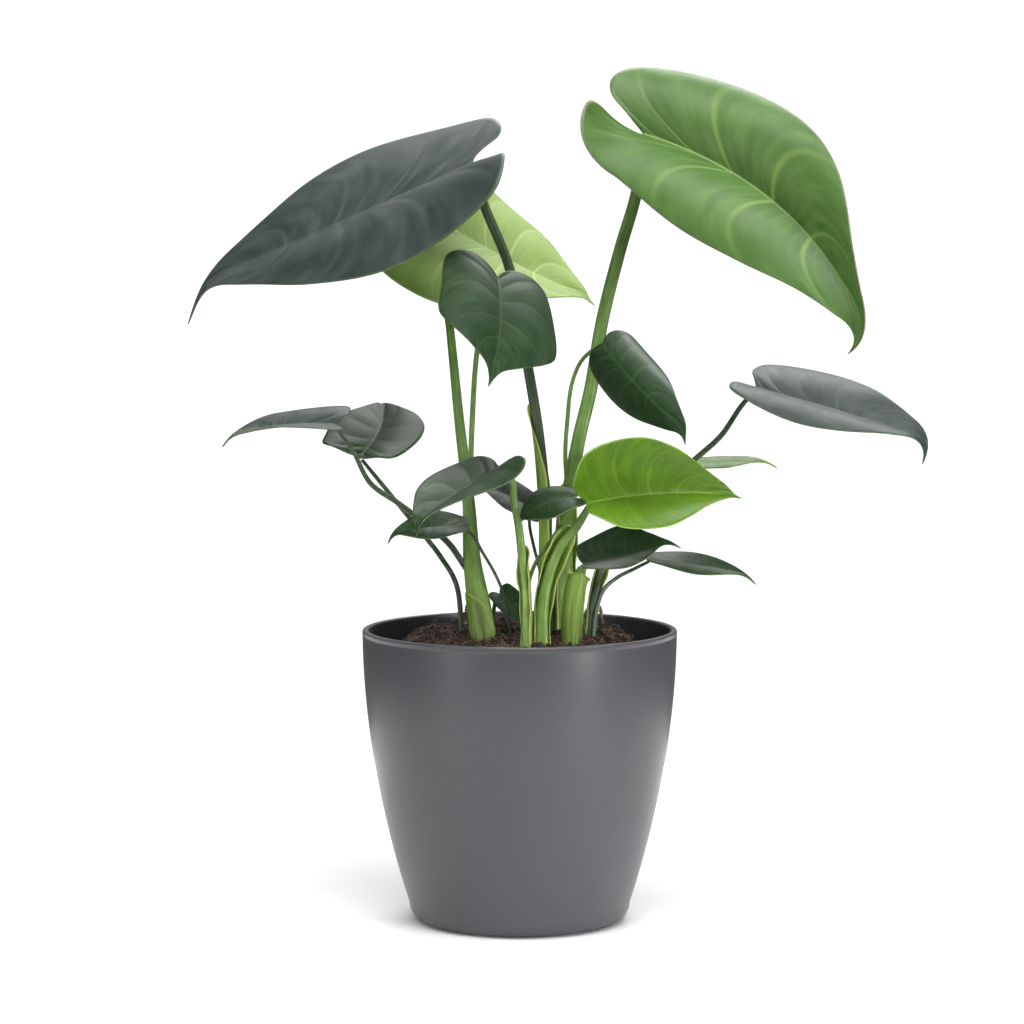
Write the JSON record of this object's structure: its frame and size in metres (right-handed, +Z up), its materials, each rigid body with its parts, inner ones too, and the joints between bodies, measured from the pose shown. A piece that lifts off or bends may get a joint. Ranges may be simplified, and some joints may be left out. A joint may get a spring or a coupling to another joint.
{
  "type": "potted monstera",
  "caption": "Young heart-leaved foliage plant on long stalks in potting soil and a nursery pot, standing loose in a round tapered anthracite plastic cover pot.",
  "frame": {"origin": "centre of the cover pot's flat base, where the pot stands", "axes": "+Z up, -Y towards the side the plant is seen from, +X to that viewer's right"},
  "size_m": [0.375, 0.2221, 0.4324],
  "materials": {
    "cover_pot_plastic": "satin moulded anthracite plastic",
    "nursery_pot_plastic": "thin moulded black plastic",
    "potting_soil": "loose dark peat with fibres",
    "root": "dry fibrous root",
    "leaf_slate_green": "satin leaf upper face, blue grey sheen",
    "leaf_deep_green": "satin leaf upper face",
    "leaf_mid_green": "satin leaf upper face with light veins",
    "leaf_pale_underside": "matt leaf underside, light shining through",
    "leaf_young_green": "young leaf, light shining through",
    "stalk_green": "smooth fresh leaf stalk",
    "stalk_dark": "smooth dark leaf stalk"
  },
  "bodies": {
    "root": {"cover_pot": "cover_pot_plastic", "nursery_pot": "nursery_pot_plastic", "root_ball": "potting_soil", "root_arch": "root", "root_spur": "root", "stalk_top_right": "stalk_green", "stalk_top_left": "stalk_dark", "stalk_back_pale": "stalk_green", "stalk_heart": "stalk_green", "stalk_middle_right": "stalk_green", "stalk_far_right": "stalk_dark", "stalk_front_bright": "stalk_green", "stalk_behind_bright": "stalk_dark", "stalk_far_left": "stalk_dark", "stalk_left_round": "stalk_dark", "stalk_front_curled": "stalk_green", "stalk_low_left": "stalk_dark", "stalk_centre_small": "stalk_dark", "stalk_front_small": "stalk_green", "stalk_low_right": "stalk_green", "stalk_low_far_right": "stalk_dark", "stalk_youngest": "stalk_green", "leaf_top_left": "leaf_slate_green", "leaf_top_right": "leaf_mid_green", "leaf_back_pale": "leaf_pale_underside", "leaf_heart": "leaf_deep_green", "leaf_middle_right": "leaf_deep_green", "leaf_far_right": "leaf_slate_green", "leaf_front_bright": "leaf_young_green", "leaf_behind_bright": "leaf_young_green", "leaf_far_left": "leaf_slate_green", "leaf_left_round": "leaf_deep_green", "leaf_front_curled": "leaf_deep_green", "leaf_low_left": "leaf_deep_green", "leaf_centre_small": "leaf_slate_green", "leaf_front_small": "leaf_deep_green", "leaf_low_right": "leaf_deep_green", "leaf_low_far_right": "leaf_deep_green", "leaf_youngest": "leaf_deep_green"}
  },
  "joints": []
}
